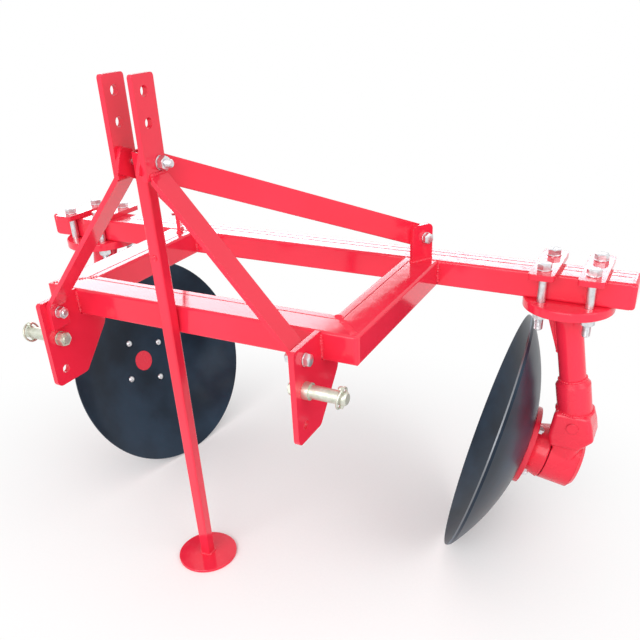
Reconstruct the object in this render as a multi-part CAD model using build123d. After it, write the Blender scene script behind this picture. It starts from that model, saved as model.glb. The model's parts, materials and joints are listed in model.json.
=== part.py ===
from build123d import *
import math
import os

# Disc ridger for a three-point hitch. Sizes in millimetres.
# While it is built, X runs across the machine from its centre plane, Y to the rear from the
# front face of the front bar, and Z up from the mid-height of the box bars.

# Box bars of the frame
bar_high = 64
bar_wide = 88
bar_wall = 6
bar_round = 6
seam_wide = 3
seam_deep = 1.2
frame_half = 408
frame_deep = 478
frame_corner = 11
toolbar_half = 870
toolbar_end = 12
toolbar_end_round = 8

# Hexagon bolts, as shares of the shank's diameter, and the thread that shows past a nut
flats_share = 1.5
head_share = 0.65
nut_share = 0.8
washer_share = 1.7
washer_thick = 3
short_tail = 4
hole_ease = 0.1

# Mast: two upright plates with holes for the top link
mast_gap = 57
mast_thick = 11
mast_front = -103.5
mast_rear = -45.5
mast_bottom = 326
mast_top = 509
mast_round = 7
top_hole = 19.5
top_hole_y = -76
top_hole_upper = 480
top_hole_lower = 426
mast_bolt_d = 16
mast_bolt_y = -62.5
mast_bolt_z = 354
mast_tail = 13

# Legs from the mast down to the hitch plates, and braces from the mast back to the toolbar
leg_thick = 10
leg_wide = 50
leg_slope = 1.132
leg_top_z = 328.5
leg_bottom_z = -34
leg_bend = 14
brace_thick = 8
brace_deep = 56
brace_front_y = -92
brace_front_z = 388
brace_front_round = 12
brace_nose = 20
brace_bend_y = -39
brace_bend = 16
brace_past = 6
brace_tip = 24
brace_tip_round = 16
lug_thick = 10
lug_front = 40
lug_rear = 20
lug_over = 33
lug_round = 14
lug_bolt_d = 16
lug_bolt_z = 88

# Hitch plates under the front bar, with the lower-link pins
hitch_out = 327.6
hitch_thick = 12
hitch_front = -112
hitch_top = 33
hitch_low = -176
hitch_toe = -16
hitch_knee_y = 72
hitch_knee_z = -78
hitch_heel = 78
hitch_round = 8
hitch_low_round = 15
hitch_knee_round = 34
pin_y = -76
pin_z = -62
pin_d = 28
pin_end = 420
pin_chamfer = 3
pin_shoulder = 14
pin_shoulder_d = 36
pin_stud_d = 20
linch_d = 10
linch_in = 13
spare_hole_y = -79
spare_hole_z = -140
leg_bolt_d = 16
leg_bolt_z = 3

# Clamps that carry the disc standards under the toolbar
standard_inset = 149
strip_wide = 58
strip_thick = 14
strip_long = 192
strip_half = 54.5
strip_round = 9
clamp_bolt_d = 20
clamp_bolt_half = 56
clamp_tail = 30
flange_d = 214
flange_thick = 22
slot_ease = 1.5
slot_turn = 9
post_d = 65
post_lean = 0.1767
gusset_thick = 12
gusset_wide = 22
gusset_long = 126
gusset_toe = 2

# Bearing castings on the posts
cone_z = -245
collar_z = -259
collar_d = 86
knuckle_top = -328
knuckle_shoulder = -364
knuckle_corner = -396
knuckle_low = -430
knuckle_deep = 92
knuckle_out = 48
knuckle_in = 64
knuckle_foot = 10
knuckle_round = 12
mark_d = 30
mark_high = 2.5
arm_round = 20
arm_top_wide = 92
arm_top_deep = 84
arm_low_wide = 68
arm_low_deep = 118
barrel_d = 146
barrel_from = 169
barrel_to = 244
barrel_end = 8
cap_thick = 11
cap_inset = 3
cap_chamfer = 9

# Dished discs on their hubs
disc_d = 660
disc_dish = 110
disc_thick = 6
disc_edge = 3
disc_bevel = 5
disc_axis = (0.9506, 0.1567, -0.2679)
disc_inset = 172.6
disc_ahead = 5.6
disc_z = -443.3
centre_hole_d = 68
hub_flange_d = 214
hub_back = 120
hub_root_d = 126
hub_boss_d = 150
hub_boss_chamfer = 4
hub_gap = 2
hub_spigot_fit = 0.2
hub_spigot_proud = 1
hub_clear = 6
hub_bolt_circle = 170
hub_bolt_turn = 26
hub_bolt_d = 12
hub_head_d = 22
hub_head_high = 6
hub_head_round = 4
shaft_d = 50
shaft_short = 3
running_fit = 0.05

# Parking stand on the mast bolt
stand_side = 28
stand_wall = 3
stand_round = 4
stand_over = 20
stand_foot_d = 160
stand_foot_thick = 8
stand_foot_chamfer = 1
stand_foot_x = -106
stop_gap = 1

# Sizes that follow from the ones above
mast_in = mast_gap / 2
mast_out = mast_in + mast_thick
bar_top = bar_high / 2
bar_under = -bar_high / 2
toolbar_y = frame_deep + bar_wide / 2
standard_x = toolbar_half - standard_inset
disc_x = standard_x - disc_inset
disc_y = toolbar_y - disc_ahead
axis = Vector(*disc_axis).normalized()
rim_r = disc_d / 2
rim_drop = math.sqrt(1 - axis.Z ** 2) * rim_r
rim_reach = math.sqrt(1 - axis.Y ** 2) * rim_r
ground = disc_z - rim_drop + disc_edge * axis.Z
rear_end = disc_y + rim_reach + disc_edge * axis.Y
middle_y = (hitch_front + rear_end) / 2
sphere_r = (rim_r ** 2 + disc_dish ** 2) / (2 * disc_dish)
sphere_at = disc_dish - sphere_r
across = Vector(1, 0, 0)
up = Vector(0, 0, 1)
far = 4 * frame_half

os.makedirs("parts", exist_ok=True)
MIN_Z = (Align.CENTER, Align.CENTER, Align.MIN)
MAX_Z = (Align.CENTER, Align.CENTER, Align.MAX)
MIN_X = (Align.MIN, Align.CENTER, Align.CENTER)


def put(node, shape):
    # Sets a piece on the ground, in the middle of the machine's depth, and writes it out.
    export_step(Pos(0, -middle_y, -ground) * shape, "parts/" + node + ".step")


def put_pair(name, shape):
    # The left-hand piece is at +X, seen from behind the machine, and the right one mirrors it.
    put(name + "_left", shape)
    put(name + "_right", mirror(shape, about=Plane.YZ))


def put_both(node, shape):
    # A small fixing that is the same on both sides is one node.
    put(node, Compound(children=[shape, mirror(shape, about=Plane.YZ)]))


def rod(start, along, radius, length):
    return Plane(origin=start, z_dir=along) * Cylinder(radius, length, align=MIN_Z)


def hole(through, along, diameter):
    # The cutter of a round hole that passes right through whatever it meets.
    return Plane(origin=through, z_dir=along) * Cylinder(diameter / 2 + hole_ease, far)


def hexagon(start, along, across_flats, length):
    face = RegularPolygon(across_flats / math.sqrt(3), 6)
    return extrude(Plane(origin=start, z_dir=along) * face, length)


def hex_bolt(face, along, grip, shank, tail):
    # A hexagon bolt with its head and a washer on the face, and a washer and nut past the grip.
    washer = washer_share * shank / 2
    nut_high = nut_share * shank
    under_head = face - along * washer_thick
    nut_face = face + along * (grip + washer_thick)
    made = rod(under_head, along, shank / 2, grip + 2 * washer_thick + nut_high + tail)
    made += rod(under_head, along, washer, washer_thick)
    made += hexagon(under_head, along * -1, flats_share * shank, head_share * shank)
    made += rod(face + along * grip, along, washer, washer_thick)
    return made + hexagon(nut_face, along, flats_share * shank, nut_high)


def across_plate(outline, x_from, x_to):
    # A flat plate with its outline in Y and Z.
    return extrude(Plane.YZ.offset(x_from) * outline, x_to - x_from)


def along_plate(outline, y_from, y_to):
    # A flat bar with its outline in X and Z.
    flat = Plane(origin=(0, y_from, 0), x_dir=(1, 0, 0), z_dir=(0, -1, 0))
    return extrude(flat * outline, y_from - y_to)


def polygon(points):
    return make_face(Polyline(*points, close=True))


def rounded(face, corners, radius):
    # Rounds the named corners of an outline.
    picked = []
    for x, y in corners:
        picked.append(min(face.vertices(), key=lambda v: math.dist((v.X, v.Y), (x, y))))
    return fillet(picked, radius)


def bent_strip(start, bend, end, thick, inside):
    # Outline of a strip of one thickness with one bend of the given inside radius.
    first = (Vector(*bend) - Vector(*start)).normalized()
    second = (Vector(*end) - Vector(*bend)).normalized()
    side_1 = Vector(-first.Y, first.X) * (thick / 2)
    side_2 = Vector(-second.Y, second.X) * (thick / 2)
    mitre = (side_1 + side_2) / (1 + first.dot(second))
    left = [Vector(*start) + side_1, Vector(*bend) + mitre, Vector(*end) + side_2]
    right = [Vector(*start) - side_1, Vector(*bend) - mitre, Vector(*end) - side_2]
    face = polygon([(p.X, p.Y) for p in left + right[::-1]])
    turns_left = first.cross(second).Z > 0
    inner, outer = (left[1], right[1]) if turns_left else (right[1], left[1])
    face = rounded(face, [(inner.X, inner.Y)], inside)
    return rounded(face, [(outer.X, outer.Y)], inside + thick)


# Box bars: one hollow section with the seam line it is welded along
section = RectangleRounded(bar_wide, bar_high, bar_round)
hollow = Rectangle(bar_wide - 2 * bar_wall, bar_high - 2 * bar_wall)
seam = Pos(bar_wide / 4, bar_top) * Rectangle(seam_wide, 2 * seam_deep)
bar = section - hollow - seam
plan_deep = frame_deep + bar_wide
outline = Pos(0, plan_deep / 2) * RectangleRounded(2 * frame_half, plan_deep, frame_corner)
frame_plan = Pos(0, 0, -bar_high) * extrude(outline, 2 * bar_high)
inner_half = frame_half - bar_wide

front_plane = Plane(origin=(-frame_half, bar_wide / 2, 0), x_dir=(0, 1, 0), z_dir=(1, 0, 0))
front = extrude(front_plane * bar, 2 * frame_half)
mitre = polygon([(-frame_half, 0), (frame_half, 0), (inner_half, bar_wide), (-inner_half, bar_wide)])
put("front_bar", front & frame_plan & Pos(0, 0, -bar_high) * extrude(mitre, 2 * bar_high))

side_plane = Plane(origin=(frame_half - bar_wide / 2, 0, 0), x_dir=(-1, 0, 0), z_dir=(0, 1, 0))
side = extrude(side_plane * bar, frame_deep)
mitre = polygon([(frame_half, 0), (frame_half, frame_deep), (inner_half, frame_deep), (inner_half, bar_wide)])
put_pair("side_bar", side & frame_plan & Pos(0, 0, -bar_high) * extrude(mitre, 2 * bar_high))

tube_half = toolbar_half - toolbar_end
tool_plane = Plane(origin=(-tube_half, toolbar_y, 0), x_dir=(0, 1, 0), z_dir=(1, 0, 0))
put("toolbar", extrude(tool_plane * bar, 2 * tube_half))
end_plane = Plane(origin=(tube_half, toolbar_y, 0), x_dir=(0, 1, 0), z_dir=(1, 0, 0))
end = extrude(end_plane * RectangleRounded(bar_wide, bar_high, toolbar_end_round + 1), toolbar_end)
put_pair("toolbar_end", fillet(end.faces().sort_by(Axis.X)[-1].edges(), toolbar_end_round))

# Mast plates with two rows of top-link holes
face = polygon([
    (mast_front, mast_bottom), (mast_rear, mast_bottom), (mast_rear, mast_top), (mast_front, mast_top)])
face = rounded(face, [(mast_rear, mast_top), (mast_front, mast_top)], mast_round)
mast = across_plate(face, mast_in, mast_out)
for z in (top_hole_upper, top_hole_lower):
    mast -= rod((0, top_hole_y, z), across, top_hole / 2, far)
pivot = Vector(0, mast_bolt_y, mast_bolt_z)
mast -= hole(pivot, across, mast_bolt_d)
put_pair("mast_plate", mast)

# Legs: flat bars from the mast plates, bent to lie flat inside the hitch plates
hitch_in = hitch_out - hitch_thick
leg_in = hitch_in - leg_thick
leg_x = hitch_in - leg_thick / 2
leg_start = (mast_in, leg_top_z + mast_thick * leg_slope)
leg_knee = (leg_x, leg_top_z - (leg_x - mast_out) * leg_slope)
face = bent_strip(leg_start, leg_knee, (leg_x, leg_bottom_z), leg_thick, leg_bend)
leg = along_plate(face, mast_rear - leg_wide, mast_rear)
leg &= Pos(mast_out, 0, 0) * Box(far, far, far, align=MIN_X)
leg_bolt_at = Vector(leg_in, mast_rear - leg_wide / 2, leg_bolt_z)
leg -= hole(leg_bolt_at, across, leg_bolt_d)
put_pair("leg", leg)

# Rear braces: flat on the inner face of the mast plate, then slanting out to the toolbar corner
brace_x = mast_in - brace_thick / 2
brace_end_x = frame_half - bar_wide / 2
brace_end_y = frame_deep + brace_past
bend = (brace_x, brace_bend_y)
brace_run = math.dist(bend, (brace_end_x, brace_end_y))
brace_flat = brace_bend_y - brace_front_y
brace_slope = (brace_front_z - brace_deep / 2 - lug_bolt_z) / (brace_flat + brace_run)
out_x = (brace_end_x - brace_x) / brace_run
out_y = (brace_end_y - brace_bend_y) / brace_run
bend_z = brace_front_z - brace_flat * brace_slope
tip_y = brace_end_y + brace_tip * out_y
tip_z = bend_z - (brace_run + brace_tip) * brace_slope
nose_y = brace_front_y - brace_nose
nose_z = brace_front_z - brace_deep + brace_nose * brace_slope
face = polygon([
    (brace_front_y, brace_front_z), (nose_y, nose_z),
    (brace_bend_y, bend_z - brace_deep), (tip_y, tip_z - brace_deep),
    (tip_y, tip_z), (brace_bend_y, bend_z)])
face = rounded(face, [(brace_front_y, brace_front_z)], brace_front_round)
face = rounded(face, [(tip_y, tip_z), (tip_y, tip_z - brace_deep)], brace_tip_round)
plan = bent_strip(
    (brace_x, nose_y - brace_nose), bend,
    (brace_end_x + brace_tip * out_x, tip_y), brace_thick, brace_bend)
brace = extrude(plan, brace_front_z + brace_deep) & across_plate(face, 0, far)
brace -= hole(pivot, across, mast_bolt_d)
facing = Vector(out_y, -out_x, 0)
lug_bolt_at = Vector(brace_end_x, brace_end_y, lug_bolt_z)
brace -= hole(lug_bolt_at, facing, lug_bolt_d)
put_pair("rear_brace", brace)

# Lugs that stand on the frame's rear corners and take the brace ends
lug_plane = Plane(
    origin=Vector(brace_end_x, brace_end_y, 0) + facing * (brace_thick / 2),
    x_dir=(out_x, out_y, 0), z_dir=facing)
lug_top = lug_bolt_z + lug_over
face = polygon([(-lug_front, bar_top), (lug_rear, bar_top), (lug_rear, lug_top), (-lug_front, lug_top)])
face = rounded(face, [(lug_rear, lug_top), (-lug_front, lug_top)], lug_round)
lug = extrude(lug_plane * face, lug_thick)
put_pair("brace_lug", lug - hole(lug_bolt_at, facing, lug_bolt_d))
lug_face = lug_bolt_at + facing * (brace_thick / 2 + lug_thick)
put_both("brace_bolts", hex_bolt(lug_face, facing * -1, lug_thick + brace_thick, lug_bolt_d, short_tail))

# Mast bolt: clamps the braces between the mast plates and carries the stand
put("mast_bolt", hex_bolt(pivot - across * mast_out, across, 2 * mast_out, mast_bolt_d, mast_tail))

# Hitch plates, notched round the front bar's lower front edge
face = polygon([
    (hitch_front, hitch_top), (0, hitch_top), (0, bar_under), (hitch_heel, bar_under),
    (hitch_knee_y, hitch_knee_z), (hitch_toe, hitch_low), (hitch_front, hitch_low)])
face = rounded(face, [(hitch_front, hitch_top)], hitch_round)
face = rounded(face, [(hitch_front, hitch_low), (hitch_toe, hitch_low)], hitch_low_round)
face = rounded(face, [(hitch_knee_y, hitch_knee_z)], hitch_knee_round)
plate = across_plate(face, hitch_in, hitch_out)
pin_at = Vector(0, pin_y, pin_z)
plate -= hole(pin_at, across, pin_stud_d)
plate -= hole((0, spare_hole_y, spare_hole_z), across, pin_stud_d)
plate -= hole(leg_bolt_at, across, leg_bolt_d)
put_pair("hitch_plate", plate)
leg_bolt_face = leg_bolt_at + across * (leg_thick + hitch_thick)
put_both("leg_bolts", hex_bolt(leg_bolt_face, across * -1, leg_thick + hitch_thick, leg_bolt_d, short_tail))

# Lower-link pins: a shoulder against the plate, a stud and nut through it, a linch-pin hole at the end
nut_high = nut_share * pin_stud_d
stud_long = hitch_thick + washer_thick + nut_high + short_tail
pin = rod(pin_at + across * hitch_out, across, pin_d / 2, pin_end - hitch_out)
pin = chamfer(pin.faces().sort_by(Axis.X)[-1].edges(), pin_chamfer)
pin += rod(pin_at + across * hitch_out, across, pin_shoulder_d / 2, pin_shoulder)
pin += rod(pin_at + across * (hitch_out - stud_long), across, pin_stud_d / 2, stud_long)
pin -= hole(pin_at + across * (pin_end - linch_in), up, linch_d)
put_pair("lower_link_pin", pin)
nut = rod(pin_at + across * (hitch_in - washer_thick), across, washer_share * pin_stud_d / 2, washer_thick)
nut += hexagon(pin_at + across * (hitch_in - washer_thick), across * -1, flats_share * pin_stud_d, nut_high)
put_both("pin_nuts", nut - hole(pin_at, across, pin_stud_d))

# Clamp strips over the toolbar and the bolts that draw the standards up under it
standard = Pos(standard_x, toolbar_y, 0)
strip_top = bar_top + strip_thick
flange_under = bar_under - flange_thick
strips = []
bolts = []
sites = []
for dx in (-strip_half, strip_half):
    strip = extrude(RectangleRounded(strip_wide, strip_long, strip_round), strip_thick)
    one = standard * Pos(dx, 0, bar_top) * strip
    for dy in (-clamp_bolt_half, clamp_bolt_half):
        at = Vector(standard_x + dx, toolbar_y + dy, strip_top)
        one -= hole(at, up, clamp_bolt_d)
        bolts.append(hex_bolt(at, up * -1, strip_top - flange_under, clamp_bolt_d, clamp_tail))
        sites.append((dx, dy))
    strips.append(one)
put_pair("clamp_strips", Compound(children=strips))
put_pair("clamp_bolts", Compound(children=bolts))

# Round flanges under the toolbar, slotted so the discs can be set to an angle
flange = standard * Pos(0, 0, flange_under) * Cylinder(flange_d / 2, flange_thick, align=MIN_Z)
slot_r = math.hypot(strip_half, clamp_bolt_half)
for dx, dy in sites:
    at = math.degrees(math.atan2(dy, dx))
    slot = SlotArc(CenterArc((0, 0), slot_r, at - slot_turn, 2 * slot_turn), clamp_bolt_d + slot_ease)
    flange -= standard * Pos(0, 0, 2 * flange_under) * extrude(slot, -2 * flange_under)
put_pair("flange", flange)

# Leaning posts from the flanges down to the bearing castings, with a gusset under each flange
down = Vector(post_lean, 0, -1).normalized()


def on_post(z):
    return Vector(standard_x + post_lean * (flange_under - z), toolbar_y, z)


def along_post(diameter, z_from, z_to):
    return rod(on_post(z_from), down, diameter / 2, (on_post(z_to) - on_post(z_from)).length)


below_flange = standard * Pos(0, 0, flange_under) * Box(far, far, far, align=MAX_Z)
put_pair("post", along_post(post_d, 0, cone_z) & below_flange)
foot = on_post(flange_under - gusset_long)
face = polygon([
    (standard_x - post_d / 2 - gusset_wide, flange_under), (standard_x, flange_under),
    (foot.X, foot.Z), (foot.X - post_d / 2 - gusset_toe, foot.Z)])
gusset = along_plate(face, toolbar_y - gusset_thick / 2, toolbar_y + gusset_thick / 2)
put_pair("gusset", gusset - along_post(post_d, 0, cone_z))

# Placement of everything that lies along a disc's axle
disc_at = Vector(disc_x, disc_y, disc_z)
axle = Plane(origin=disc_at, x_dir=up.cross(axis), z_dir=axis)


def on_axle(radius, d_from, d_to):
    return axle * Pos(0, 0, d_from) * Cylinder(radius, d_to - d_from, align=MIN_Z)


# Bearing castings: collar, knuckle and arm run down into a barrel round the axle
casting = Plane(origin=on_post(cone_z), z_dir=down) * Cone(
    post_d / 2, collar_d / 2, (on_post(collar_z) - on_post(cone_z)).length, align=MIN_Z)
casting += along_post(collar_d, collar_z, knuckle_shoulder)
# The knuckle's outline: how far from the post's axis, and the height
knuckle_outline = [
    (-collar_d / 2, knuckle_top), (collar_d / 2, knuckle_top), (knuckle_out, knuckle_shoulder),
    (knuckle_out, knuckle_corner), (knuckle_foot, knuckle_low), (-knuckle_in, knuckle_low),
    (-knuckle_in, knuckle_corner)]
face = polygon([(on_post(z).X + off, z) for off, z in knuckle_outline])
knuckle = along_plate(face, toolbar_y - knuckle_deep / 2, toolbar_y + knuckle_deep / 2)
casting += fillet(knuckle.edges(), knuckle_round)
mark_at = on_post(knuckle_shoulder) - Vector(0, knuckle_deep / 2, 0)
casting += rod(mark_at, (0, -1, 0), mark_d / 2, mark_high)
arm_top = Plane(origin=on_post(knuckle_shoulder), x_dir=(1, 0, 0), z_dir=(0, 0, -1)) * RectangleRounded(
    arm_top_wide, arm_top_deep, arm_round)
arm_end = disc_at + axis * ((barrel_from + barrel_to) / 2)
arm_low = Plane(origin=arm_end, x_dir=(1, 0, 0), z_dir=(0, 0, -1)) * RectangleRounded(
    arm_low_wide, arm_low_deep, arm_round)
casting += loft([arm_top, arm_low])
casting += on_axle(barrel_d / 2, barrel_from, barrel_to)

# Room in the casting for the axle, and for the hub and its bolts to turn
hub_end = barrel_from - hub_gap
bore_to = barrel_to - barrel_end
nuts_end = hub_back + washer_thick + nut_share * hub_bolt_d + short_tail
nuts_r = hub_bolt_circle / 2 + washer_share * hub_bolt_d / 2
casting -= on_axle(hub_boss_d / 2 + hub_clear, hub_back, barrel_from)
casting -= on_axle(nuts_r + hub_clear, hub_back, nuts_end + hub_clear)
casting -= on_axle(shaft_d / 2 + running_fit, hub_end, bore_to)
put_pair("bearing_casting", casting)
cap = Cylinder(barrel_d / 2 - cap_inset, cap_thick, align=MIN_Z)
cap = chamfer(cap.faces().sort_by(Axis.Z)[-1].edges(), cap_chamfer)
put_pair("end_cap", axle * Pos(0, 0, barrel_to) * cap - casting)

# Hubs: a flange dished to the disc, a flared boss and the axle in the casting's bore
shaft_end = bore_to - shaft_short
boss_r = hub_boss_d / 2
profile = polygon([
    (0, 0), (hub_flange_d / 2, 0), (hub_flange_d / 2, hub_back), (hub_root_d / 2, hub_back),
    (boss_r, hub_end - hub_boss_chamfer), (boss_r - hub_boss_chamfer, hub_end), (shaft_d / 2, hub_end),
    (shaft_d / 2, shaft_end), (0, shaft_end)])
hub = revolve(Plane.XZ * profile, Axis.Z)
hub -= Pos(0, 0, sphere_at) * Sphere(sphere_r + disc_thick)
spigot_r = centre_hole_d / 2 - hub_spigot_fit
spigot_at = disc_dish - hub_spigot_proud
hub += Pos(0, 0, spigot_at) * Cylinder(spigot_r, hub_back - spigot_at, align=MIN_Z)
bolt_r = hub_bolt_circle / 2
bolt_sites = [Rot(0, 0, hub_bolt_turn + 90 * i) * Pos(bolt_r, 0, 0) for i in range(4)]
for site in bolt_sites:
    hub -= site * hole((0, 0, 0), up, hub_bolt_d)


def dish(ball_r, r):
    # How far along the axle a sphere of the dish lies at a distance from the axle.
    return sphere_at + math.sqrt(ball_r ** 2 - r ** 2)


# Discs: one dished sheet with a sharpened rim
back_r = sphere_r + disc_thick
bevel_r = rim_r - disc_bevel
hole_r = centre_hole_d / 2
mid_r = rim_r / 2
bevel_at = (bevel_r, dish(back_r, bevel_r))
inside = ThreePointArc((rim_r, 0), (mid_r, dish(sphere_r, mid_r)), (hole_r, dish(sphere_r, hole_r)))
lip = Line((hole_r, dish(sphere_r, hole_r)), (hole_r, dish(back_r, hole_r)))
outside = ThreePointArc((hole_r, dish(back_r, hole_r)), (mid_r, dish(back_r, mid_r)), bevel_at)
bevel = Polyline(bevel_at, (rim_r, disc_edge), (rim_r, 0))
disc = revolve(Plane.XZ * make_face(inside + lip + outside + bevel), Axis.Z)
for site in bolt_sites:
    disc -= site * hole((0, 0, 0), up, hub_bolt_d)

# Round-headed bolts through each disc and hub flange
ball = Pos(0, 0, sphere_at) * Sphere(sphere_r)
head_at = dish(sphere_r, bolt_r + hub_head_d / 2)
head_from = head_at - hub_head_high
nut_at = (0, 0, hub_back + washer_thick)
fixings = []
for site in bolt_sites:
    head = Pos(0, 0, head_from) * Cylinder(hub_head_d / 2, disc_dish - head_from, align=MIN_Z)
    one = site * fillet(head.faces().sort_by(Axis.Z)[0].edges(), hub_head_round) & ball
    one += site * rod((0, 0, head_at), up, hub_bolt_d / 2, nuts_end - head_at)
    one += site * rod((0, 0, hub_back), up, washer_share * hub_bolt_d / 2, washer_thick)
    one += site * hexagon(nut_at, up, flats_share * hub_bolt_d, nut_share * hub_bolt_d)
    fixings.append(one)
put_pair("hub", axle * hub)
put_pair("disc", axle * disc)
put_pair("hub_bolts", axle * Compound(children=fixings))

# Stand: a square tube hung on the mast bolt that leans back on the front bar, with a round foot
foot_top = ground + stand_foot_thick
drop = mast_bolt_z - foot_top
stop_drop = mast_bolt_z - bar_under - bar_round
lean_back = (-mast_bolt_y - stop_gap - stand_side / 2) / stop_drop
foot_at = Vector(stand_foot_x, mast_bolt_y + lean_back * drop, foot_top)
leaning = (pivot - foot_at).normalized()
tube_plane = Plane(origin=foot_at - leaning * stand_side, x_dir=Vector(0, 1, 0).cross(leaning), z_dir=leaning)
stand_inside = stand_side - 2 * stand_wall
tube_face = RectangleRounded(stand_side, stand_side, stand_round)
tube_face -= RectangleRounded(stand_inside, stand_inside, stand_round / 2)
tube = extrude(tube_plane * tube_face, (pivot - foot_at).length + stand_side + stand_over)
tube &= Pos(0, 0, foot_top) * Box(far, far, far, align=MIN_Z)
tube -= rod(pivot - across * mast_out, across, mast_bolt_d / 2 + running_fit, 2 * mast_out)
put("stand_tube", tube)
stand_foot = Pos(foot_at.X, foot_at.Y, ground) * Cylinder(stand_foot_d / 2, stand_foot_thick, align=MIN_Z)
put("stand_foot", chamfer(stand_foot.edges(), stand_foot_chamfer))
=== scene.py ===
# %% [markdown]
# # A disc ridger in red paint
# A disc ridger hangs on a tractor's three-point hitch and throws soil into a ridge with two dished
# discs. The solids are already cut to size. What is left for Blender is what a painter and a welder
# leave behind: beads, bolts, plating and a thick coat of gloss.

# %% Load the machine
import bmesh
import bpy
import json
import math
from mathutils import Matrix, Vector
from mathutils.geometry import tessellate_polygon


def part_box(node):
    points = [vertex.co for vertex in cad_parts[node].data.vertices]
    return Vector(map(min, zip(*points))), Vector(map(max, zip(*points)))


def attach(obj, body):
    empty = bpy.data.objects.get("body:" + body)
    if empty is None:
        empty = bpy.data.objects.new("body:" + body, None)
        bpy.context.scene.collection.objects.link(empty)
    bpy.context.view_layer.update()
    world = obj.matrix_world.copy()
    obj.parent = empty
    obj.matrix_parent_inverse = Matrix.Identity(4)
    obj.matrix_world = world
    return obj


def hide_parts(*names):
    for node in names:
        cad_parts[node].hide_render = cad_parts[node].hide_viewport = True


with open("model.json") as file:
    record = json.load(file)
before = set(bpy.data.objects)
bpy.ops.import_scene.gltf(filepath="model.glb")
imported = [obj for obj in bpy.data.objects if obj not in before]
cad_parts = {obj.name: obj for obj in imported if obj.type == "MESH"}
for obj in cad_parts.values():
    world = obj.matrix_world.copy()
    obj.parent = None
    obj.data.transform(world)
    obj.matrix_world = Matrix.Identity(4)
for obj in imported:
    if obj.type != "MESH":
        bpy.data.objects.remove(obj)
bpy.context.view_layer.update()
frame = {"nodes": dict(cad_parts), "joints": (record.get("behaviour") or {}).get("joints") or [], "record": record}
mm = 0.001
signs = {"left": 1, "right": -1}

# %% [markdown]
# ## Writing shaders as sums
# A finish is mostly arithmetic on masks: a little dust here, a little less gloss there. Wiring Math
# nodes by hand hides that, so one small class wraps a socket and lets Python's own operators add the
# nodes. Any other node comes from its single `node` method, settings first and sockets after.

# %% A socket that can be added and multiplied


class Wire:
    """A shader socket that takes part in sums."""

    def __init__(self, tree, socket):
        self.tree = tree
        self.socket = socket

    def node(self, kind, settings=None, inputs=None, output=0):
        made = self.tree.nodes.new(kind)
        for key, value in (settings or {}).items():
            setattr(made, key, value)
        for key, value in (inputs or {}).items():
            if isinstance(value, Wire):
                self.tree.links.new(value.socket, made.inputs[key])
            else:
                made.inputs[key].default_value = value
        return Wire(self.tree, made.outputs[output])

    def sum(self, operation, first, second):
        return self.node("ShaderNodeMath", {"operation": operation}, {0: first, 1: second})

    def __add__(self, other):
        return self.sum("ADD", self, other)

    def __radd__(self, other):
        return self.sum("ADD", other, self)

    def __rsub__(self, other):
        return self.sum("SUBTRACT", other, self)

    def __mul__(self, other):
        return self.sum("MULTIPLY", self, other)

    def between(self, low, high):
        """0 below low, 1 above high and smooth in between."""
        return self.node(
            "ShaderNodeMapRange", {"interpolation_type": "SMOOTHSTEP"},
            {"Value": self, "From Min": low, "From Max": high})


def finish_called(name):
    """An empty material, its shader and the place of each point on the machine."""
    made = bpy.data.materials.new(name)
    made.use_nodes = True
    tree = made.node_tree
    tree.nodes.clear()
    out = tree.nodes.new("ShaderNodeOutputMaterial")
    shader = tree.nodes.new("ShaderNodeBsdfPrincipled")
    tree.links.new(shader.outputs[0], out.inputs[0])
    place = tree.nodes.new("ShaderNodeTexCoord")
    return made, shader, Wire(tree, place.outputs["Object"])


def feed(shader, **values):
    """Links or sets the shader's sockets, whose names are written with underscores."""
    for name, value in values.items():
        socket = shader.inputs[name.replace("_", " ")]
        if isinstance(value, Wire):
            value.tree.links.new(value.socket, socket)
        else:
            socket.default_value = value


def noise(place, scale, detail=3.0, rough=0.5):
    return place.node(
        "ShaderNodeTexNoise", {},
        {"Vector": place, "Scale": scale, "Detail": detail, "Roughness": rough})


def mix(factor, first, second):
    """A colour that goes from the first to the second."""
    return factor.node(
        "ShaderNodeMix", {"data_type": "RGBA"}, {"Factor": factor, "A": first, "B": second},
        output="Result")


print("shader helpers ready")

# %% [markdown]
# ## Red gloss paint
# The machine is sprayed with a thick signal-red enamel. Sprayed enamel is never a mirror: it dries with
# a fine orange peel, thins a little over edges and holds a trace of dust on what faces up. The
# edges of cut plate are sharp in the solids, so a Bevel node rounds them for the light alone.

# %% Red enamel on plate
signal_red = (0.86, 0.026, 0.062, 1.0)
deep_red = (0.79, 0.020, 0.050, 1.0)
dusty_red = (0.88, 0.13, 0.17, 1.0)
drift_scale = 3.0
dust_scale = 55.0
dust_detail = 5.0
dust_rough = 0.62
dust_tint = 0.16
dust_dulling = 0.12
sheen_scale = 20.0
sheen_drift = 0.04
peel_strength = 0.35
edge_samples = 4


def soft_edges(place, radius):
    return place.node("ShaderNodeBevel", {"samples": edge_samples}, {"Radius": radius})


def facing_up(place):
    geometry = place.node("ShaderNodeNewGeometry", output="Normal")
    return geometry.node("ShaderNodeSeparateXYZ", {}, {0: geometry}, output="Z")


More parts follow.
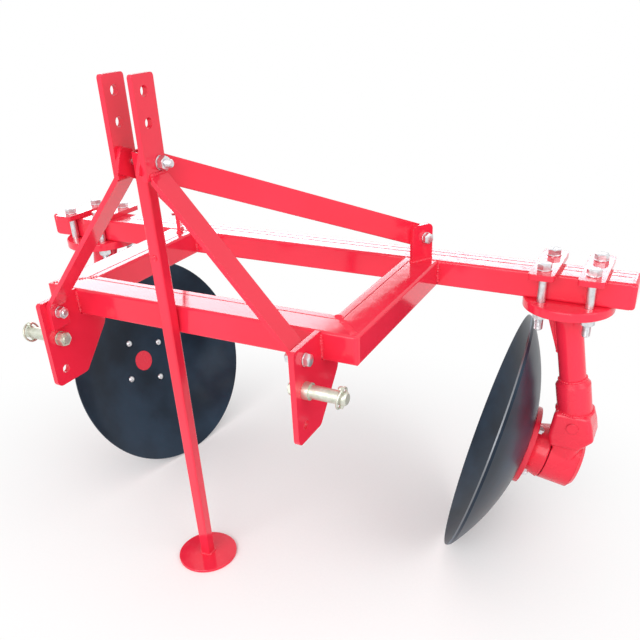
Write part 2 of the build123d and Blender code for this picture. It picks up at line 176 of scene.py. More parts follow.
def red_enamel(name, grain_scale, grain_depth, edge, gloss):
    made, shader, place = finish_called(name)
    drift = noise(place, drift_scale).between(0.35, 0.65)
    colour = mix(drift, signal_red, deep_red)
    specks = noise(place, dust_scale, dust_detail, dust_rough).between(0.5, 0.78)
    dust = specks * facing_up(place).between(0.6, 0.95)
    colour = mix(dust * dust_tint, colour, dusty_red)
    peel = noise(place, grain_scale, 2.0)
    bump = place.node(
        "ShaderNodeBump", {},
        {"Height": peel, "Strength": peel_strength, "Distance": grain_depth,
         "Normal": soft_edges(place, edge)})
    sheen = noise(place, sheen_scale).between(0.3, 0.8)
    roughness = gloss + sheen * sheen_drift + dust * dust_dulling
    feed(shader, Base_Color=colour, Roughness=roughness, Normal=bump)
    feed(shader, Coat_Weight=0.16, Coat_Roughness=0.06, IOR=1.5, Specular_IOR_Level=0.36)
    return made


# name, scale and depth of the grain, radius of the edges, roughness
red_plate = red_enamel("red_plate", 420.0, 0.1 * mm, 1.8 * mm, 0.08)
red_casting = red_enamel("red_casting", 190.0, 0.9 * mm, 4.0 * mm, 0.26)
red_bead = red_enamel("red_bead", 330.0, 1.4 * mm, 0.6 * mm, 0.2)
print("paints", red_plate.name, red_casting.name, red_bead.name)

# %% [markdown]
# ## Plating
# Bolts are bright zinc and the lower-link pins are yellow zinc, which keeps a green and gold tint.
# Both are thin electroplate over turned steel, so the gloss shifts in soft blotches and the
# turning marks show as a very fine grain.

# %% Bright and yellow zinc
blotch_scale = 90.0
blotch_detail = 4.0
blotch_dulling = 0.12
turning_scale = 500.0
turning_strength = 0.05
turning_depth = 0.2 * mm
plated_edge = 0.5 * mm


def plating(name, light, dark, rough):
    made, shader, place = finish_called(name)
    blotch = noise(place, blotch_scale, blotch_detail).between(0.35, 0.7)
    grain = noise(place, turning_scale, 2.0)
    bump = place.node(
        "ShaderNodeBump", {},
        {"Height": grain, "Strength": turning_strength, "Distance": turning_depth,
         "Normal": soft_edges(place, plated_edge)})
    feed(shader, Base_Color=mix(blotch, light, dark), Metallic=1.0)
    feed(shader, Roughness=rough + blotch * blotch_dulling, Normal=bump)
    return made


bright_zinc = plating("bright_zinc", (0.82, 0.83, 0.85, 1.0), (0.64, 0.65, 0.67, 1.0), 0.3)
yellow_zinc = plating("yellow_zinc", (0.74, 0.75, 0.66, 1.0), (0.58, 0.61, 0.51, 1.0), 0.42)
print("platings", bright_zinc.name, yellow_zinc.name)

# %% [markdown]
# ## Black discs
# The discs are spring steel under black gloss. The rim is ground to an edge, where the steel shows.
# How far a point is from the axle tells rim from face: the cross product of its place with the axle's
# direction has exactly that length.

# %% Black gloss with a bare rim
rim_from = 329.4 * mm
rim_to = 329.9 * mm
nick_scale = 60.0
nick_depth = 0.5 * mm
haze_scale = 4.5
deep_black = (0.008, 0.013, 0.023, 1.0)
hazy_black = (0.026, 0.048, 0.080, 1.0)
bare_steel = (0.22, 0.23, 0.25, 1.0)
disc_peel = 380.0
disc_peel_depth = 0.2 * mm
disc_hinges = {j["child"]: j for j in frame["joints"] if j["name"].endswith("disc_spin")}


def black_disc(name, hinge):
    made, shader, place = finish_called(name)
    out = place.node("ShaderNodeVectorMath", {"operation": "SUBTRACT"}, {0: place, 1: hinge["pos_m"]})
    arm = out.node("ShaderNodeVectorMath", {"operation": "CROSS_PRODUCT"}, {0: out, 1: hinge["axis"]})
    radius = arm.node("ShaderNodeVectorMath", {"operation": "LENGTH"}, {0: arm}, output="Value")
    nick = noise(place, nick_scale, 4.0) * nick_depth
    bare = (radius + nick).between(rim_from, rim_to)
    haze = noise(place, haze_scale, 4.0).between(0.3, 0.75)
    black = mix(haze, deep_black, hazy_black)
    peel = noise(place, disc_peel, 2.0)
    bump = place.node(
        "ShaderNodeBump", {}, {"Height": peel, "Strength": 0.25, "Distance": disc_peel_depth})
    feed(shader, Base_Color=mix(bare, black, bare_steel), Metallic=bare)
    feed(shader, Roughness=0.30 + haze * 0.10 + bare * 0.05, Normal=bump)
    feed(shader, Coat_Weight=(1 - bare) * 0.08, Coat_Roughness=0.12, IOR=1.45)
    feed(shader, Specular_IOR_Level=0.18, Specular_Tint=(0.8, 0.92, 1.0, 1.0))
    return made


disc_black = {}
for side in signs:
    disc_black[side] = black_disc(f"black_disc_{side}", disc_hinges[f"{side}_disc"])
print("disc finishes", sorted(disc_black))

# %% [markdown]
# ## Dressing the solids
# Every solid that keeps its own shape gets its finish here. The mesh itself stays as it came: only
# the shading is told which edges are sharp, so that turned faces look turned and cut edges stay crisp.

# %% Finishes on the solids
sharp_angle = math.radians(32)
finish_of = {"red_paint": red_plate, "zinc_steel": bright_zinc, "yellow_zinc": yellow_zinc}
cast_nodes = ("bearing_casting", "end_cap", "hub")
slot_of = {p["node"]: p["material_slot"] for p in frame["record"]["subparts"]}


def shade(mesh):
    for face in mesh.polygons:
        face.use_smooth = True
    mesh.set_sharp_from_angle(angle=sharp_angle)


for node, solid in frame["nodes"].items():
    kind = node.removesuffix("_left").removesuffix("_right")
    side = node.rsplit("_", 1)[-1]
    coat = disc_black[side] if kind == "disc" else finish_of[slot_of[node]]
    if kind in cast_nodes:
        coat = red_casting
    solid.data.materials.clear()
    solid.data.materials.append(coat)
    shade(solid.data)
print("dressed", len(frame["nodes"]), "solids")

# %% [markdown]
# ## Skins over rings
# Bolts, beads and wire rings are all the same shape at heart: a row of rings with a skin drawn over
# them. A primitive cylinder has no bevel, no thread and no ripple, so every small piece here is skinned
# ring by ring. A ring is a list of points, and a frame set up along a direction carries it to its place.

# %% Rings, frames and skins
sides = 48
small_sides = 24
slim_sides = 12


def circle(radius, height, count=sides):
    spokes = [math.tau * step / count for step in range(count)]
    return [Vector((radius * math.cos(a), radius * math.sin(a), height)) for a in spokes]


def standing(at, way, turn=0.0):
    """A frame at a point whose Z axis looks along a direction."""
    aim = Vector(way).to_track_quat("Z", "Y").to_matrix().to_4x4()
    return Matrix.Translation(at) @ aim @ Matrix.Rotation(turn, 4, "Z")


def band(mesh, low, high):
    """Faces between two rows of points."""
    for a, b, c, d in zip(low, low[1:] + low[:1], high[1:] + high[:1], high):
        mesh.faces.new((a, b, c, d))


def skin(mesh, where, rings, endless=False):
    rows = [[mesh.verts.new(where @ point) for point in ring] for ring in rings]
    pairs = list(zip(rows, rows[1:]))
    if endless:
        pairs.append((rows[-1], rows[0]))
    else:
        mesh.faces.new(rows[0][::-1])
        mesh.faces.new(rows[-1])
    for low, high in pairs:
        band(mesh, low, high)


def box_of(node):
    """The two far corners of a solid's box."""
    low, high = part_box(node)
    return Vector(low), Vector(high)


def middle_of(low, high, height):
    """The middle of a box in plan, at a height."""
    return Vector(((low.x + high.x) / 2, (low.y + high.y) / 2, height))


def fitted(name, mesh, coat, body, slot, *stands_for):
    """A finished piece on its body, in place of the named solids."""
    data = bpy.data.meshes.new(name)
    mesh.to_mesh(data)
    mesh.free()
    data.materials.append(coat)
    shade(data)
    piece = bpy.data.objects.new(name, data)
    bpy.context.scene.collection.objects.link(piece)
    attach(piece, body)
    if stands_for:
        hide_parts(*stands_for)
    print(name, len(data.polygons), "faces")


print("rings of", sides, "points")

# %% [markdown]
# ## Hexagon heads, washers and threads
# A forged head is a hexagon cut by a 30 degree cone: the corners dip, the flats end in an arc, and the
# top is a round land. So the ring under the land is a hexagon whose points sink as they reach outward.
# A thread is a sharp ridge wound round a thinner core, which shows where a bolt's end stands out of its
# nut.

# %% The pieces of a bolt
head_share = 0.65
nut_share = 0.8
flats_share = 1.5
land_share = 0.475
washer_share = 0.85
washer_thick = 3 * mm
washer_edge = 0.6 * mm
cone = math.tan(math.radians(30))
thread_depth = 0.6
thread_steps = 24
ridge_half = 0.48
ridge_sunk = 0.1
ridge_least = 0.05
end_bevel = 1.2 * mm


def hexagon(flats, height, dip=0):
    ring = []
    for point in circle(1.0, height):
        a = math.atan2(point.y, point.x)
        reach = flats / 2 / math.cos((a + math.pi / 6) % (math.pi / 3) - math.pi / 6)
        sink = (reach - land_share * flats) * cone * dip
        ring.append(Vector((point.x * reach, point.y * reach, height + sink)))
    return ring


def washer(mesh, where, radius, start):
    end = start + washer_thick
    skin(mesh, where, [
        circle(radius - washer_edge, start), circle(radius, start + washer_edge),
        circle(radius, end - washer_edge), circle(radius - washer_edge, end)])


def nut(mesh, where, flats, start, end):
    land = land_share * flats
    skin(mesh, where, [
        circle(land, start), hexagon(flats, start, 1), hexagon(flats, end, -1), circle(land, end)])


def thread(mesh, where, diameter, pitch, start, end):
    """A core with a ridge wound round it, the ridge fading in and out over half a turn."""
    root = diameter / 2 - thread_depth * pitch
    skin(mesh, where, [circle(root, start), circle(root, end - end_bevel), circle(root - end_bevel, end)])
    steps = int((end - end_bevel - start) / pitch * thread_steps)
    rings = []
    for step in range(steps + 1):
        spoke = Matrix.Rotation(math.tau * step / thread_steps, 3, "Z") @ Vector((1, 0, 0))
        height = start + pitch * step / thread_steps
        fade = min(1, 2 * step / thread_steps, 2 * (steps - step) / thread_steps)
        crest = root + max(fade, ridge_least) * (diameter / 2 - root)
        foot = root - ridge_sunk * pitch
        rings.append([
            spoke * foot + Vector((0, 0, height + pitch * ridge_half)),
            spoke * crest + Vector((0, 0, height)),
            spoke * foot + Vector((0, 0, height - pitch * ridge_half))])
    skin(mesh, where, rings)


def hex_bolt(mesh, where, shank, length, tail, pitch):
    """Along Z: head, washer, shank, washer, nut and the thread that stands out of it."""
    flats = flats_share * shank
    head = head_share * shank
    nut_end = length - tail
    nut_start = nut_end - nut_share * shank
    skin(mesh, where, [circle(land_share * flats, 0), hexagon(flats, 0, 1), hexagon(flats, head)])
    washer(mesh, where, washer_share * shank, head)
    skin(mesh, where, [circle(shank / 2, head), circle(shank / 2, nut_start)])
    washer(mesh, where, washer_share * shank, nut_start - washer_thick)
    nut(mesh, where, flats, nut_start, nut_end)
    thread(mesh, where, shank, pitch, nut_end - pitch, length)


print("a bolt's head is", head_share, "of its shank high")

# %% [markdown]
# ## Finding where the bolts are
# The frame already knows: each bolt is a plain solid in its node. Walking from point to point over the
# mesh's edges parts the node into its bolts, and the reach of each one along its own direction gives
# both ends. The new bolt then takes exactly the place of the plain one.

# %% Bolts that replace the plain ones
weld_distance = 0.01 * mm


def loose_parts(node):
    """The points of each separate solid in a node."""
    mesh = bmesh.new()
    mesh.from_mesh(frame["nodes"][node].data)
    bmesh.ops.remove_doubles(mesh, verts=mesh.verts, dist=weld_distance)
    left = {v.index: v for v in mesh.verts}
    parts = []
    while left:
        group = [left.pop(min(left))]
        for v in group:
            near = [e.other_vert(v) for e in v.link_edges]
            group += [left.pop(n.index) for n in near if n.index in left]
        parts.append([v.co.copy() for v in group])
    mesh.free()
    return parts


def ends_of(points, way):
    """Where a solid starts along a direction, on its own axis, and how long it is."""
    way = Vector(way).normalized()
    low = min(p.dot(way) for p in points)
    high = max(p.dot(way) for p in points)
    across = way.orthogonal().normalized()
    start = way * low
    for side in (across, way.cross(across)):
        reach = [p.dot(side) for p in points]
        start += side * (min(reach) + max(reach)) / 2
    return start, high - low


lug_wide = 60 * mm
lug_thick = 10 * mm


def brace_way(side):
    """The level direction of a rear brace, worked out from the box of the lug at its end."""
    low, high = box_of(f"brace_lug_{side}")
    reach = high - low
    spread = lug_wide ** 2 - lug_thick ** 2
    out = (lug_wide * reach.x - lug_thick * reach.y) / spread
    rear = (lug_wide * reach.y - lug_thick * reach.x) / spread
    return Vector((out if side == "left" else -out, rear, 0)).normalized()


def side_of(points):
    return "left" if points[0].x > 0 else "right"


def inward(points):
    return Vector((-1, 0, 0)) if points[0].x > 0 else Vector((1, 0, 0))


def behind_lug(points):
    way = brace_way(side_of(points))
    return Vector((-way.y, way.x, 0)) if points[0].x > 0 else Vector((way.y, -way.x, 0))


def downward(points):
    return Vector((0, 0, -1))


def to_left(points):
    return Vector((1, 0, 0))


# node, direction from head to nut, shank, thread past the nut, pitch
hexagon_bolts = (
    ("clamp_bolts_left", downward, 20 * mm, 30 * mm, 2.5 * mm),
    ("clamp_bolts_right", downward, 20 * mm, 30 * mm, 2.5 * mm),
    ("brace_bolts", behind_lug, 16 * mm, 4 * mm, 2 * mm),
    ("leg_bolts", inward, 16 * mm, 4 * mm, 2 * mm),
    ("mast_bolt", to_left, 16 * mm, 13 * mm, 2 * mm),
)
turn_step = 0.83
for node, way_of, shank, tail, pitch in hexagon_bolts:
    mesh = bmesh.new()
    for index, points in enumerate(loose_parts(node)):
        way = way_of(points)
        start, length = ends_of(points, way)
        hex_bolt(mesh, standing(start, way, turn_step * index), shank, length, tail, pitch)
    fitted(f"{node}_turned", mesh, bright_zinc, "frame", "zinc_steel", node)

# %% [markdown]
# ## Round heads in the discs
# The disc bolts have low round heads so that soil slides past them. A round head is a short row of
# rings that follow an arc. These bolts turn with their disc, so they ride on it.

# %% Disc bolts and pin nuts
round_head = 11 * mm
round_high = 6 * mm
round_rings = 7
hub_shank = 12 * mm
hub_tail = 4 * mm
hub_pitch = 1.75 * mm
pin_stud = 20 * mm
pin_turn = 0.3


def round_headed(mesh, where, length):
    rings = []
    for step in range(1, round_rings + 1):
        a = math.pi / 2 * step / round_rings
        rings.append(circle(round_head * math.sin(a), round_high * (1 - math.cos(a))))
    rings.append(circle(round_head, 2 * round_high))
    skin(mesh, where, rings)
    nut_end = length - hub_tail
    nut_start = nut_end - nut_share * hub_shank
    skin(mesh, where, [circle(hub_shank / 2, round_high), circle(hub_shank / 2, nut_start)])
    washer(mesh, where, washer_share * hub_shank, nut_start - washer_thick)
    nut(mesh, where, flats_share * hub_shank, nut_start, nut_end)
    thread(mesh, where, hub_shank, hub_pitch, nut_end - hub_pitch, length)


for side in signs:
    mesh = bmesh.new()
    axle = Vector(disc_hinges[f"{side}_disc"]["axis"])
    bolts = f"hub_bolts_{side}"
    for points in loose_parts(bolts):
        start, length = ends_of(points, axle)
        round_headed(mesh, standing(start, axle), length)
    fitted(f"{bolts}_turned", mesh, bright_zinc, f"{side}_disc", "zinc_steel", bolts)

mesh = bmesh.new()
for points in loose_parts("pin_nuts"):
    way = inward(points)
    start, length = ends_of(points, way)
    where = standing(start, way, pin_turn)
    washer(mesh, where, washer_share * pin_stud, 0)
    nut(mesh, where, flats_share * pin_stud, washer_thick, length)
fitted("pin_nuts_turned", mesh, yellow_zinc, "frame", "yellow_zinc", "pin_nuts")

# %% [markdown]
# ## Drilled flanges
# Each standard hangs from a thick round flange with an eased upper edge. In the photograph its holes
# are drilled tight round the bolts. The flat faces have four holes in them, so they are filled with
# triangles, and a narrow flat band inside the eased edge keeps the shading of those triangles level.

# %% Round flanges with eased edges
flange_ease = 4 * mm
ease_rings = 5
level_band = 1 * mm
flange_hole_r = 10.4 * mm


def drilled(mesh, where, rings, centres):
    """A round plate over its rings, with holes through its two flat faces."""
    ends = []
    for ring in (rings[0], rings[-1]):
        hole = circle(flange_hole_r, ring[0].z, small_sides)
        loops = [ring] + [[centre + p for p in hole] for centre in centres]
        corners = [mesh.verts.new(where @ p) for loop in loops for p in loop]
        for triangle in tessellate_polygon(loops):
            mesh.faces.new([corners[i] for i in triangle])
        ends.append(corners)
    rows = [[mesh.verts.new(where @ p) for p in ring] for ring in rings[1:-1]]
    rows = [ends[0][:sides]] + rows + [ends[1][:sides]]
    for low_row, high_row in zip(rows, rows[1:]):
        band(mesh, low_row, high_row)
    for first in range(sides, len(ends[0]), small_sides):
        band(mesh, ends[0][first:first + small_sides], ends[1][first:first + small_sides])
    bmesh.ops.recalc_face_normals(mesh, faces=mesh.faces[:])


for side in signs:
    low, high = box_of(f"flange_{side}")
    under = middle_of(low, high, low.z)
    radius = (high.x - low.x) / 2
    thick = high.z - low.z
    rings = [circle(radius, 0)]
    for step in range(ease_rings + 1):
        a = math.pi / 2 * step / ease_rings
        drawn_in = flange_ease * (1 - math.cos(a))
        rings.append(circle(radius - drawn_in, thick - flange_ease * (1 - math.sin(a))))
    rings.append(circle(radius - flange_ease - level_band, thick))
    heads = [ends_of(points, (0, 0, -1))[0] - under for points in loose_parts(f"clamp_bolts_{side}")]
    mesh = bmesh.new()
    drilled(mesh, Matrix.Translation(under), rings, [Vector((head.x, head.y, 0)) for head in heads])
    fitted(f"flange_{side}_turned", mesh, red_plate, "frame", "red_paint", f"flange_{side}")

# %% [markdown]
# ## Linch pins
# A linch pin keeps the tractor's link on the lower-link pin. It drops through the hole near the end, and
# a sprung wire ring swings over the end to lock it. The ring is a torus, which is once more a skin, over
# rings that run in a circle and close on themselves.

# %% Linch pins with their rings
linch_in = 13 * mm
linch_r = 4.7 * mm
linch_up = 16 * mm
linch_down = 25 * mm
knob_r = 6.5 * mm
knob_high = 9 * mm
ring_r = 21.5 * mm
ring_wire = 2.4 * mm
ring_tilt = math.radians(10)
ring_steps = 64
knob_cuts = 10
# radius and distance from the end, as shares of the shaft's radius
linch_tip = ((1.0, 2.0), (0.55, 0.4), (0.2, 0.0))
mesh = bmesh.new()
for side, sign in signs.items():
    low, high = box_of(f"lower_link_pin_{side}")
    tip_x = high.x if sign > 0 else low.x
    hole = Vector((tip_x - sign * linch_in, (low.y + high.y) / 2, (low.z + high.z) / 2))
    drop = standing(hole + Vector((0, 0, linch_up + knob_high)), (0, 0, -1))
    rings = []
    for step in range(1, knob_cuts - 1):
        a = math.pi * step / knob_cuts
        rings.append(circle(knob_r * math.sin(a), knob_high / 2 * (1 - math.cos(a)), small_sides))
    shaft_end = knob_high + linch_up + linch_down
    rings.append(circle(linch_r, knob_high, small_sides))
    for wide, short in linch_tip:
        rings.append(circle(linch_r * wide, shaft_end - linch_r * short, small_sides))
    skin(mesh, drop, rings)
    swing = Matrix.Rotation(sign * ring_tilt, 4, "Y") @ Matrix.Rotation(math.pi / 2, 4, "Y")
    wire = []
    for step in range(ring_steps):
        spoke = Matrix.Rotation(math.tau * step / ring_steps, 4, "Z")
        across = spoke @ Matrix.Translation((ring_r, 0, 0)) @ Matrix.Rotation(-math.pi / 2, 4, "X")
        wire.append([across @ p for p in circle(ring_wire, 0, slim_sides)])
    skin(mesh, Matrix.Translation(hole) @ swing, wire, endless=True)
fitted("linch_pins", mesh, yellow_zinc, "frame", "yellow_zinc")

# %% [markdown]
# ## Weld beads
# The frame is welded, and the paint only softens the beads. A bead is a thin tube along a seam that
# swells and shrinks with each stitch of the torch. Half of it lies inside the steel, so only the convex
# half shows. The mitred corners carry a wide, flat bead, and a thin seam runs along the toolbar. The
# seams are worked out from the boxes of the solids that meet there.

# %% A bead along a line
bead_step = 1.5 * mm
stitch = 6.5 * mm
stitch_swell = 0.14
wander = 0.07
wander_rate = 0.31
fade_steps = 3
fade_least = 0.4


def walk(points):
    """Points at an even step along a bent line."""
    spaced = []
    for a, b in zip(points, points[1:]):
        count = max(1, round((b - a).length / bead_step))
        spaced += [a.lerp(b, i / count) for i in range(count)]
    return spaced + [points[-1]]


def bead(mesh, points, size, endless=False, spread=1.0):
    line = walk(points + points[:1] if endless else points)
    if endless:
        line.pop()
    last = len(line) - 1
    rings = []
    for i, at in enumerate(line):
        before = line[i - 1] if i or endless else at
        after = line[(i + 1) % len(line)] if i < last or endless else at
        ripple = stitch_swell * math.cos(math.tau * i * bead_step / stitch)
        ripple += wander * math.sin(i * wander_rate)
        swell = 1 + ripple * spread
        fade = 1 if endless else math.sqrt(min(1, (min(i, last - i) + fade_least) / fade_steps))
        where = standing(at, after - before)
        ring = circle(size * swell * fade, 0, slim_sides)
        rings.append([where @ Vector((p.x * spread, p.y, 0)) for p in ring])
    skin(mesh, Matrix(), rings, endless)


print("stitches every", round(stitch / mm, 1), "mm")

# %% Seams of the box frame
flush = 3.6 * mm
mitre = 3.6 * mm
mitre_spread = 2.2
hairline = 1.5 * mm
corner = 4.2 * mm
sunk = 2.4 * mm
nip = 5 * mm
corner_inset = 8 * mm
front_low, front_high = box_of("front_bar")
side_low, side_high = box_of("side_bar_left")
tool_low, tool_high = box_of("toolbar")
leg_low, leg_high = box_of("leg_left")
mast_foot = box_of("mast_plate_left")[0].z
plate_low, plate_high = box_of("hitch_plate_left")
bar_top = front_high.z
bar_under = front_low.z
inner_x, outer_x = side_low.x, side_high.x
upper = bar_top - nip
lower = bar_under + nip

# start, end, size, spread
seams = []
for z in (bar_top - sunk, bar_under + sunk):
    outer_corner = (outer_x - corner_inset, front_low.y + corner_inset, z)
    seams.append((outer_corner, (inner_x, front_high.y, z), mitre, mitre_spread))
    seams.append(((inner_x + nip, tool_low.y, z), (outer_x - nip, tool_low.y, z), flush, 1))
for x, y in ((inner_x, front_high.y), (inner_x, tool_low.y), (outer_x, tool_low.y)):
    seams.append(((x, y, lower), (x, y, upper), corner, 1))
for z in (leg_high.z, mast_foot):
    seams.append(((leg_low.x, leg_low.y, z), (leg_low.x, leg_high.y, z), flush, 1))
for x in (plate_low.x, plate_high.x):
    seams.append(((x, front_low.y, lower), (x, front_low.y, upper), corner, 1))
    seams.append(((x, front_low.y + nip, bar_under), (x, plate_high.y - nip, bar_under), corner, 1))
tool_middle = (tool_low.y + tool_high.y) / 2
for z in (bar_top - hairline / 2, bar_under + hairline / 2):
    seams.append(((0, tool_middle, z), (tool_high.x - nip, tool_middle, z), hairline, 1))

mesh = bmesh.new()
for start, end, size, spread in seams:
    for sign in (1, -1):
        bead(mesh, [Vector((sign * p[0], p[1], p[2])) for p in (start, end)], size, spread=spread)
for side in signs:
    low, high = box_of(f"brace_lug_{side}")
    middle = middle_of(low, high, low.z)
    along = brace_way(side) * lug_wide / 2
    across = Vector((-along.y, along.x, 0)).normalized() * lug_thick / 2
    for edge in (across, -across):
        bead(mesh, [middle + edge - along, middle + edge + along], corner)
    for end in (along, -along):
        bead(mesh, [middle + end - across, middle + end + across], corner)
fitted("frame_welds", mesh, red_bead, "frame", "red_paint")

# %% [markdown]
# ## Beads round the posts
# A leaning post meets its level flange in an ellipse, and the casting's collar in a tilted circle. Both
# are rings of points, drawn as closed beads. The gusset has a bead down each of its four inner edges.
# On the stand, a bead runs round the tube on its foot, and a plug weld sits high on the tube's front.

# %% Seams of the posts and the stand
post_lean = 0.1767
post_r = 32.5 * mm
collar_r = 43 * mm
collar_drop = 86 * mm
gusset_wide = 54.5 * mm
gusset_half = 6 * mm
seam_sides = 72
stretch = math.hypot(1, post_lean)
mesh = bmesh.new()
for side, sign in signs.items():
    low, high = box_of(f"flange_{side}")
    under = middle_of(low, high, low.z)
    down = Vector((sign * post_lean, 0, -1))
    cast_top = box_of(f"bearing_casting_{side}")[1].z
    gusset_foot = box_of(f"gusset_{side}")[0].z
    neck = under + down * (under.z - cast_top + post_r * post_lean / stretch)
    shoulder = neck + down * collar_drop
    level = [Vector((p.x * stretch, p.y, 0)) for p in circle(1.0, 0, seam_sides)]
    bead(mesh, [under + p * post_r for p in level], corner, endless=True)
    tilted = standing(neck, down)
    bead(mesh, [tilted @ p for p in circle(post_r, 0, seam_sides)], flush, endless=True)
    bead(mesh, [shoulder + p * collar_r for p in level], corner, endless=True)
    foot_drop = under.z - gusset_foot
    for edge in (gusset_half, -gusset_half):
        inner = under + Vector((-sign * math.sqrt(post_r ** 2 - edge ** 2) * stretch, edge, 0))
        bead(mesh, [inner, inner + down * foot_drop], flush)
        bead(mesh, [inner, under + Vector((-sign * gusset_wide, edge, 0))], flush)
fitted("post_welds", mesh, red_bead, "frame", "red_paint")

tube_half = 14.2 * mm
plug_drop = 196 * mm
plug_r = 6.5 * mm
plug_high = 2.4 * mm
# radius and height of each ring, as shares of the plug's own
plug_shape = ((1.0, -1.0), (1.0, 0.5), (0.75, 1.0), (0.5, 0.6))
quarters = ((-1, -1), (1, -1), (1, 1), (-1, 1))
foot_low, foot_high = box_of("stand_foot")
foot = middle_of(foot_low, foot_high, foot_high.z)
square = [foot + Vector((x * tube_half, y * tube_half, 0)) for x, y in quarters]
mesh = bmesh.new()
for a, b in zip(square, square[1:] + square[:1]):
    bead(mesh, [a, b], corner)
bolt_low, bolt_high = box_of("mast_bolt")
pivot = Vector((0, (bolt_low.y + bolt_high.y) / 2, (bolt_low.z + bolt_high.z) / 2))
leaning = (pivot - foot).normalized()
ahead = Vector((0, 1, 0)).cross(leaning).cross(leaning).normalized()
plug = standing(pivot - leaning * plug_drop + ahead * tube_half, ahead)
skin(mesh, plug, [circle(plug_r * wide, plug_high * up, small_sides) for wide, up in plug_shape])
fitted("stand_weld", mesh, red_bead, "stand", "red_paint")

# %% [markdown]
# ## Camera
# The photograph was taken from chest height, in front of the machine and to its left. The place,
# the lens and the slight tilt of the camera were worked out from the machine's straight edges.

# %% The photographer's place
camera_place = Vector((0.9397, -1.5084, 1.3866))
camera_azimuth = math.radians(27.07)
camera_elevation = math.radians(28.51)
camera_roll = math.radians(-2.21)
image_side = 640
focal_pixels = 718.5
principal_point = (335.0, 380.5)
sensor = 36.0

right = Vector((math.cos(camera_azimuth), math.sin(camera_azimuth), 0))
back = Vector((
    math.sin(camera_azimuth) * math.cos(camera_elevation),
    -math.cos(camera_azimuth) * math.cos(camera_elevation),
    math.sin(camera_elevation)))
up = back.cross(right)
lens = bpy.data.cameras.new("camera")
lens.sensor_width = sensor
lens.lens = focal_pixels / image_side * sensor
lens.shift_x = (image_side / 2 - principal_point[0]) / image_side
lens.shift_y = (principal_point[1] - image_side / 2) / image_side
camera = bpy.data.objects.new("camera", lens)
aim = Matrix((right, up, back)).transposed() @ Matrix.Rotation(camera_roll, 3, "Z")
camera.matrix_world = Matrix.Translation(camera_place) @ aim.to_4x4()
bpy.context.scene.collection.objects.link(camera)
bpy.context.scene.camera = camera
print("lens", round(lens.lens, 2), "mm")

# %% [markdown]
# ## A floor that fades to white
# The floor is a plain pale sheet that keeps the machine's shadow. Away from the machine it turns into a
# sheet of plain white, for the camera and for reflections alone, so that it meets the white sky
# without a horizon and adds no light of its own.

# %% Pale floor
floor_half = 60.0
fade_reach = (1.25, 0.95, 1.0)
fade_from = 0.2
fade_to = 1.25
floor_grain = 140.0
pale_low = (0.93, 0.93, 0.93, 1.0)
pale_high = (0.945, 0.945, 0.945, 1.0)


def seen(tree):
    """1 for what the camera, a mirror or a pane of glass sees, and 0 for light itself."""
    path = tree.nodes.new("ShaderNodeLightPath")
    camera_ray, glossy, through = (
        Wire(tree, path.outputs[f"Is {kind} Ray"]) for kind in ("Camera", "Glossy", "Transmission"))
    return (camera_ray + glossy + through).between(0.0, 1.0)


sheet = bpy.data.meshes.new("floor")
corners = [(x * floor_half, y * floor_half, 0) for x, y in quarters]
sheet.from_pydata(corners, [], [(0, 1, 2, 3)])
floor = bpy.data.objects.new("floor", sheet)
bpy.context.scene.collection.objects.link(floor)
pale, pale_shader, pale_place = finish_called("pale_floor")
pale_tree = pale.node_tree
grain = noise(pale_place, floor_grain).between(0.3, 0.7)
feed(pale_shader, Base_Color=mix(grain, pale_low, pale_high))
feed(pale_shader, Roughness=0.9, Specular_IOR_Level=0.1)
spread = pale_place.node(
    "ShaderNodeVectorMath", {"operation": "DIVIDE"}, {0: pale_place, 1: fade_reach})
away = spread.node("ShaderNodeVectorMath", {"operation": "LENGTH"}, {0: spread}, output="Value")
white = pale_tree.nodes.new("ShaderNodeEmission")
blend = pale_tree.nodes.new("ShaderNodeMixShader")
pale_tree.links.new((away.between(fade_from, fade_to) * seen(pale_tree)).socket, blend.inputs[0])
pale_tree.links.new(pale_shader.outputs[0], blend.inputs[1])
pale_tree.links.new(white.outputs[0], blend.inputs[2])
pale_tree.links.new(blend.outputs[0], pale_tree.nodes["Material Output"].inputs[0])
sheet.materials.append(pale)
print("floor fades from", fade_from, "to", fade_to)

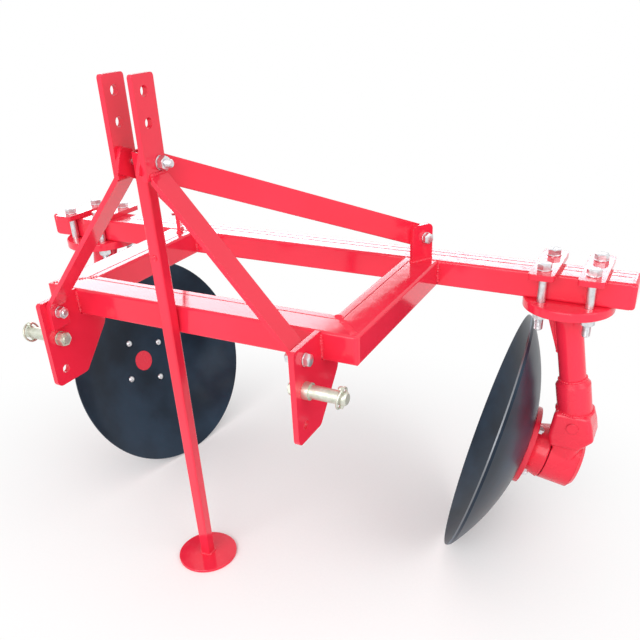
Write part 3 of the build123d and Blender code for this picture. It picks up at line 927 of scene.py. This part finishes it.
# %% [markdown]
# ## Sky and panels
# The paint was photographed in the open, where bright sky low behind the machine turns the tops of the
# bars a pale pink. Two flat clouds stand in for that sky. They show in reflections alone and light
# nothing else. They hang far enough back that the foot of the stand, which is seen more steeply, reflects
# past them and stays red. Two soft panels light the front and the left side.

# %% White sky and soft panels
sky_strength = 0.72
world = bpy.data.worlds.new("sky")
world.use_nodes = True
sky_tree = world.node_tree
sky_tree.nodes.clear()
sky_out = sky_tree.nodes.new("ShaderNodeOutputWorld")
sky = sky_tree.nodes.new("ShaderNodeBackground")
sky_tree.links.new(sky.outputs[0], sky_out.inputs[0])
sky.inputs["Color"].default_value = (1.0, 1.0, 1.0, 1.0)
sky_tree.links.new((sky_strength + seen(sky_tree) * (1 - sky_strength)).socket, sky.inputs["Strength"])
bpy.context.scene.world = world

# name, place, aim, width, height, watts, colour
panels = (
    ("front_panel", (0.2, -4.8, 3.0), (0, 0, 0.6), 4.4, 3.0, 165, (1.0, 1.0, 1.0)),
    ("side_panel", (4.4, -1.2, 3.0), (0, 0, 0.6), 3.0, 3.0, 62, (1.0, 1.0, 1.0)),
    ("far_cloud", (-2.9, 5.45, 2.6), (-2.9, 5.45, 0), 7.8, 1.0, 150, (1.0, 0.93, 1.0)),
    ("near_cloud", (-4.17, 3.77, 2.6), (-4.17, 3.77, 0), 5.26, 2.35, 165, (1.0, 0.93, 1.0)),
)
for name, place, aim_at, width, height, watts, colour in panels:
    lamp = bpy.data.lights.new(name, "AREA")
    lamp.shape = "RECTANGLE"
    lamp.size = width
    lamp.size_y = height
    lamp.energy = watts
    lamp.color = colour
    panel = bpy.data.objects.new(name, lamp)
    panel.location = place
    panel.rotation_mode = "QUATERNION"
    panel.rotation_quaternion = (Vector(aim_at) - Vector(place)).to_track_quat("-Z", "Y")
    panel.visible_camera = False
    panel.visible_diffuse = not name.endswith("cloud")
    bpy.context.scene.collection.objects.link(panel)
bpy.context.scene.view_settings.view_transform = "Standard"
print("panels", len(panels))
